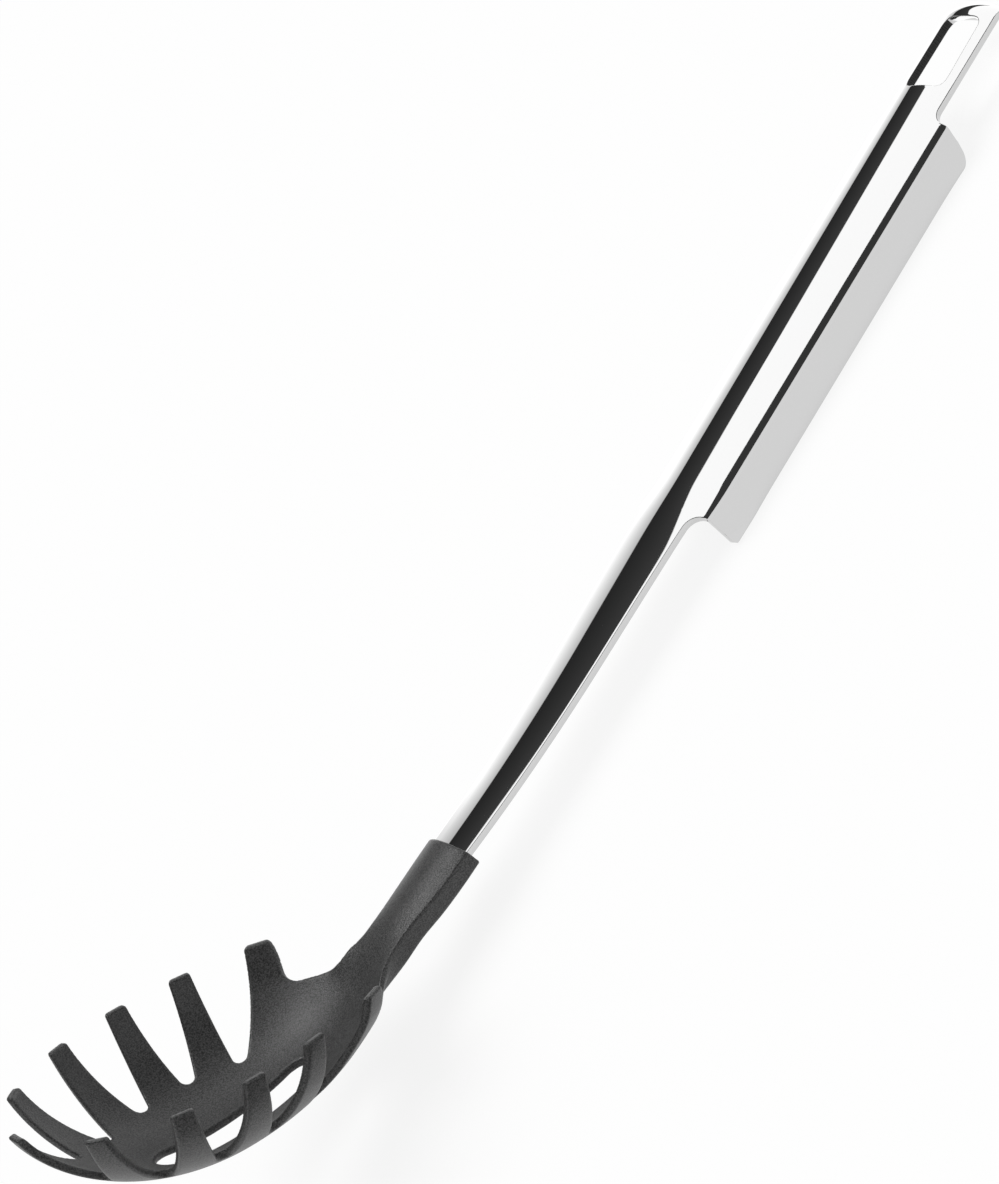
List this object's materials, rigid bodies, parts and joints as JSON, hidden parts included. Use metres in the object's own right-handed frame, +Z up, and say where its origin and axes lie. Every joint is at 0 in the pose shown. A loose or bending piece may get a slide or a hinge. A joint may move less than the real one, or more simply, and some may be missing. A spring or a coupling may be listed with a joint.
{
  "type": "pasta server",
  "caption": "Kitchen pasta server: a dark nylon toothed bowl with a drain slot, moulded on the end of a long polished sheet-steel handle with a hanging loop.",
  "frame": {"origin": "centre of the bounding box in plan, on the surface that the server rests on, which is the level of the lips of the grip's folded sides", "axes": "+X along the handle towards the hanging loop, +Y across the handle, +Z up; XZ is the plane of symmetry"},
  "size_m": [0.3242, 0.069, 0.0649],
  "materials": {
    "nylon": "dark charcoal nylon, matt with a fine grain",
    "steel": "stainless sheet steel, polished to a mirror"
  },
  "bodies": {
    "root": {"head": "nylon", "handle": "steel"}
  },
  "joints": []
}
